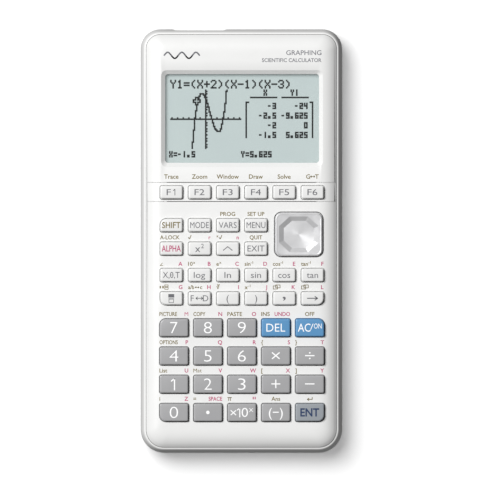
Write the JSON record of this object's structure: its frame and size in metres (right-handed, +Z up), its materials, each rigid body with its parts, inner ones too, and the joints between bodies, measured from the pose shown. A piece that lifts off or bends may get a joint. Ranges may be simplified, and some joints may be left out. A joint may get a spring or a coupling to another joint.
{
  "type": "graphing calculator",
  "caption": "Handheld graphing calculator with a clear display window, sliding key caps, a rocking cursor pad and a hinged battery cover.",
  "frame": {"origin": "middle of the footprint, on the surface that the feet stand on", "axes": "+X the calculator's right, +Y towards the display end, +Z up out of the key face"},
  "size_m": [0.0834, 0.1756, 0.0212],
  "materials": {
    "white_case": "satin white moulded plastic",
    "white_key": "smooth white moulded plastic",
    "grey_key": "smooth light grey moulded plastic",
    "blue_key": "smooth sky blue moulded plastic",
    "silver_pad": "silver plastic with a faceted dish",
    "clear_window": "clear acrylic",
    "lcd_glass": "reflective liquid crystal panel, pale green grey",
    "circuit_board": "green solder mask",
    "rubber_mat": "grey silicone rubber",
    "ribbon_film": "amber polyimide film",
    "cell_wrap": "printed metallic wrap over steel cans",
    "steel": "plated steel",
    "black_plastic": "black moulded plastic"
  },
  "bodies": {
    "case": {"front_case": "white_case", "rear_case": "white_case", "display_window": "clear_window", "lcd_panel": "lcd_glass", "lcd_ribbon": "ribbon_film", "main_board": "circuit_board", "key_mat": "rubber_mat", "cell_pack": "cell_wrap", "usb_socket": "steel", "link_jack": "black_plastic"},
    "battery_cover": {"battery_cover": "white_case"},
    "cursor_rocker": {"cursor_rocker": "rubber_mat"},
    "cursor_pad": {"cursor_pad": "silver_pad"},
    "restart_button": {"restart_button": "black_plastic"},
    "key_f1": {"key_f1": "white_key"},
    "key_f2": {"key_f2": "white_key"},
    "key_f3": {"key_f3": "white_key"},
    "key_f4": {"key_f4": "white_key"},
    "key_f5": {"key_f5": "white_key"},
    "key_f6": {"key_f6": "white_key"},
    "key_shift": {"key_shift": "white_key"},
    "key_option": {"key_option": "white_key"},
    "key_variable": {"key_variable": "white_key"},
    "key_menu": {"key_menu": "white_key"},
    "key_alpha": {"key_alpha": "white_key"},
    "key_square": {"key_square": "white_key"},
    "key_power": {"key_power": "white_key"},
    "key_exit": {"key_exit": "white_key"},
    "key_xt": {"key_xt": "white_key"},
    "key_log": {"key_log": "white_key"},
    "key_ln": {"key_ln": "white_key"},
    "key_sin": {"key_sin": "white_key"},
    "key_cos": {"key_cos": "white_key"},
    "key_tan": {"key_tan": "white_key"},
    "key_fraction": {"key_fraction": "white_key"},
    "key_convert": {"key_convert": "white_key"},
    "key_open_bracket": {"key_open_bracket": "white_key"},
    "key_close_bracket": {"key_close_bracket": "white_key"},
    "key_comma": {"key_comma": "white_key"},
    "key_arrow": {"key_arrow": "white_key"},
    "key_seven": {"key_seven": "grey_key"},
    "key_eight": {"key_eight": "grey_key"},
    "key_nine": {"key_nine": "grey_key"},
    "key_delete": {"key_delete": "blue_key"},
    "key_clear": {"key_clear": "blue_key"},
    "key_four": {"key_four": "grey_key"},
    "key_five": {"key_five": "grey_key"},
    "key_six": {"key_six": "grey_key"},
    "key_multiply": {"key_multiply": "grey_key"},
    "key_divide": {"key_divide": "grey_key"},
    "key_one": {"key_one": "grey_key"},
    "key_two": {"key_two": "grey_key"},
    "key_three": {"key_three": "grey_key"},
    "key_plus": {"key_plus": "grey_key"},
    "key_minus": {"key_minus": "grey_key"},
    "key_zero": {"key_zero": "grey_key"},
    "key_point": {"key_point": "grey_key"},
    "key_exponent": {"key_exponent": "grey_key"},
    "key_negate": {"key_negate": "grey_key"},
    "key_enter": {"key_enter": "grey_key"}
  },
  "joints": [
    {"name": "cover_hinge", "type": "hinge", "parent": "case", "child": "battery_cover", "pos_m": [0, 0.0789, 0.0006], "axis": [1, 0, 0], "range_deg": [0, 70]},
    {"name": "cursor_pitch", "type": "hinge", "parent": "case", "child": "cursor_rocker", "pos_m": [0.02372, 0.00271, 0.0154], "axis": [1, 0, 0], "range_deg": [-3, 3], "stiffness_Nm_per_rad": 0.17},
    {"name": "cursor_roll", "type": "hinge", "parent": "cursor_rocker", "child": "cursor_pad", "pos_m": [0.02372, 0.00271, 0.0154], "axis": [0, 1, 0], "range_deg": [-3, 3], "stiffness_Nm_per_rad": 0.17},
    {"name": "restart_press", "type": "slide", "parent": "case", "child": "restart_button", "axis": [0, 0, 1], "range_m": [0, 0.0005], "stiffness_N_per_m": 400},
    {"name": "press_f1", "type": "slide", "parent": "case", "child": "key_f1", "axis": [0, 0, 1], "range_m": [-0.0012, 0], "stiffness_N_per_m": 400},
    {"name": "press_f2", "type": "slide", "parent": "case", "child": "key_f2", "axis": [0, 0, 1], "range_m": [-0.0012, 0], "stiffness_N_per_m": 400},
    {"name": "press_f3", "type": "slide", "parent": "case", "child": "key_f3", "axis": [0, 0, 1], "range_m": [-0.0012, 0], "stiffness_N_per_m": 400},
    {"name": "press_f4", "type": "slide", "parent": "case", "child": "key_f4", "axis": [0, 0, 1], "range_m": [-0.0012, 0], "stiffness_N_per_m": 400},
    {"name": "press_f5", "type": "slide", "parent": "case", "child": "key_f5", "axis": [0, 0, 1], "range_m": [-0.0012, 0], "stiffness_N_per_m": 400},
    {"name": "press_f6", "type": "slide", "parent": "case", "child": "key_f6", "axis": [0, 0, 1], "range_m": [-0.0012, 0], "stiffness_N_per_m": 400},
    {"name": "press_shift", "type": "slide", "parent": "case", "child": "key_shift", "axis": [0, 0, 1], "range_m": [-0.0012, 0], "stiffness_N_per_m": 400},
    {"name": "press_option", "type": "slide", "parent": "case", "child": "key_option", "axis": [0, 0, 1], "range_m": [-0.0012, 0], "stiffness_N_per_m": 400},
    {"name": "press_variable", "type": "slide", "parent": "case", "child": "key_variable", "axis": [0, 0, 1], "range_m": [-0.0012, 0], "stiffness_N_per_m": 400},
    {"name": "press_menu", "type": "slide", "parent": "case", "child": "key_menu", "axis": [0, 0, 1], "range_m": [-0.0012, 0], "stiffness_N_per_m": 400},
    {"name": "press_alpha", "type": "slide", "parent": "case", "child": "key_alpha", "axis": [0, 0, 1], "range_m": [-0.0012, 0], "stiffness_N_per_m": 400},
    {"name": "press_square", "type": "slide", "parent": "case", "child": "key_square", "axis": [0, 0, 1], "range_m": [-0.0012, 0], "stiffness_N_per_m": 400},
    {"name": "press_power", "type": "slide", "parent": "case", "child": "key_power", "axis": [0, 0, 1], "range_m": [-0.0012, 0], "stiffness_N_per_m": 400},
    {"name": "press_exit", "type": "slide", "parent": "case", "child": "key_exit", "axis": [0, 0, 1], "range_m": [-0.0012, 0], "stiffness_N_per_m": 400},
    {"name": "press_xt", "type": "slide", "parent": "case", "child": "key_xt", "axis": [0, 0, 1], "range_m": [-0.0012, 0], "stiffness_N_per_m": 400},
    {"name": "press_log", "type": "slide", "parent": "case", "child": "key_log", "axis": [0, 0, 1], "range_m": [-0.0012, 0], "stiffness_N_per_m": 400},
    {"name": "press_ln", "type": "slide", "parent": "case", "child": "key_ln", "axis": [0, 0, 1], "range_m": [-0.0012, 0], "stiffness_N_per_m": 400},
    {"name": "press_sin", "type": "slide", "parent": "case", "child": "key_sin", "axis": [0, 0, 1], "range_m": [-0.0012, 0], "stiffness_N_per_m": 400},
    {"name": "press_cos", "type": "slide", "parent": "case", "child": "key_cos", "axis": [0, 0, 1], "range_m": [-0.0012, 0], "stiffness_N_per_m": 400},
    {"name": "press_tan", "type": "slide", "parent": "case", "child": "key_tan", "axis": [0, 0, 1], "range_m": [-0.0012, 0], "stiffness_N_per_m": 400},
    {"name": "press_fraction", "type": "slide", "parent": "case", "child": "key_fraction", "axis": [0, 0, 1], "range_m": [-0.0012, 0], "stiffness_N_per_m": 400},
    {"name": "press_convert", "type": "slide", "parent": "case", "child": "key_convert", "axis": [0, 0, 1], "range_m": [-0.0012, 0], "stiffness_N_per_m": 400},
    {"name": "press_open_bracket", "type": "slide", "parent": "case", "child": "key_open_bracket", "axis": [0, 0, 1], "range_m": [-0.0012, 0], "stiffness_N_per_m": 400},
    {"name": "press_close_bracket", "type": "slide", "parent": "case", "child": "key_close_bracket", "axis": [0, 0, 1], "range_m": [-0.0012, 0], "stiffness_N_per_m": 400},
    {"name": "press_comma", "type": "slide", "parent": "case", "child": "key_comma", "axis": [0, 0, 1], "range_m": [-0.0012, 0], "stiffness_N_per_m": 400},
    {"name": "press_arrow", "type": "slide", "parent": "case", "child": "key_arrow", "axis": [0, 0, 1], "range_m": [-0.0012, 0], "stiffness_N_per_m": 400},
    {"name": "press_seven", "type": "slide", "parent": "case", "child": "key_seven", "axis": [0, 0, 1], "range_m": [-0.0012, 0], "stiffness_N_per_m": 400},
    {"name": "press_eight", "type": "slide", "parent": "case", "child": "key_eight", "axis": [0, 0, 1], "range_m": [-0.0012, 0], "stiffness_N_per_m": 400},
    {"name": "press_nine", "type": "slide", "parent": "case", "child": "key_nine", "axis": [0, 0, 1], "range_m": [-0.0012, 0], "stiffness_N_per_m": 400},
    {"name": "press_delete", "type": "slide", "parent": "case", "child": "key_delete", "axis": [0, 0, 1], "range_m": [-0.0012, 0], "stiffness_N_per_m": 400},
    {"name": "press_clear", "type": "slide", "parent": "case", "child": "key_clear", "axis": [0, 0, 1], "range_m": [-0.0012, 0], "stiffness_N_per_m": 400},
    {"name": "press_four", "type": "slide", "parent": "case", "child": "key_four", "axis": [0, 0, 1], "range_m": [-0.0012, 0], "stiffness_N_per_m": 400},
    {"name": "press_five", "type": "slide", "parent": "case", "child": "key_five", "axis": [0, 0, 1], "range_m": [-0.0012, 0], "stiffness_N_per_m": 400},
    {"name": "press_six", "type": "slide", "parent": "case", "child": "key_six", "axis": [0, 0, 1], "range_m": [-0.0012, 0], "stiffness_N_per_m": 400},
    {"name": "press_multiply", "type": "slide", "parent": "case", "child": "key_multiply", "axis": [0, 0, 1], "range_m": [-0.0012, 0], "stiffness_N_per_m": 400},
    {"name": "press_divide", "type": "slide", "parent": "case", "child": "key_divide", "axis": [0, 0, 1], "range_m": [-0.0012, 0], "stiffness_N_per_m": 400},
    {"name": "press_one", "type": "slide", "parent": "case", "child": "key_one", "axis": [0, 0, 1], "range_m": [-0.0012, 0], "stiffness_N_per_m": 400},
    {"name": "press_two", "type": "slide", "parent": "case", "child": "key_two", "axis": [0, 0, 1], "range_m": [-0.0012, 0], "stiffness_N_per_m": 400},
    {"name": "press_three", "type": "slide", "parent": "case", "child": "key_three", "axis": [0, 0, 1], "range_m": [-0.0012, 0], "stiffness_N_per_m": 400},
    {"name": "press_plus", "type": "slide", "parent": "case", "child": "key_plus", "axis": [0, 0, 1], "range_m": [-0.0012, 0], "stiffness_N_per_m": 400},
    {"name": "press_minus", "type": "slide", "parent": "case", "child": "key_minus", "axis": [0, 0, 1], "range_m": [-0.0012, 0], "stiffness_N_per_m": 400},
    {"name": "press_zero", "type": "slide", "parent": "case", "child": "key_zero", "axis": [0, 0, 1], "range_m": [-0.0012, 0], "stiffness_N_per_m": 400},
    {"name": "press_point", "type": "slide", "parent": "case", "child": "key_point", "axis": [0, 0, 1], "range_m": [-0.0012, 0], "stiffness_N_per_m": 400},
    {"name": "press_exponent", "type": "slide", "parent": "case", "child": "key_exponent", "axis": [0, 0, 1], "range_m": [-0.0012, 0], "stiffness_N_per_m": 400},
    {"name": "press_negate", "type": "slide", "parent": "case", "child": "key_negate", "axis": [0, 0, 1], "range_m": [-0.0012, 0], "stiffness_N_per_m": 400},
    {"name": "press_enter", "type": "slide", "parent": "case", "child": "key_enter", "axis": [0, 0, 1], "range_m": [-0.0012, 0], "stiffness_N_per_m": 400}
  ]
}
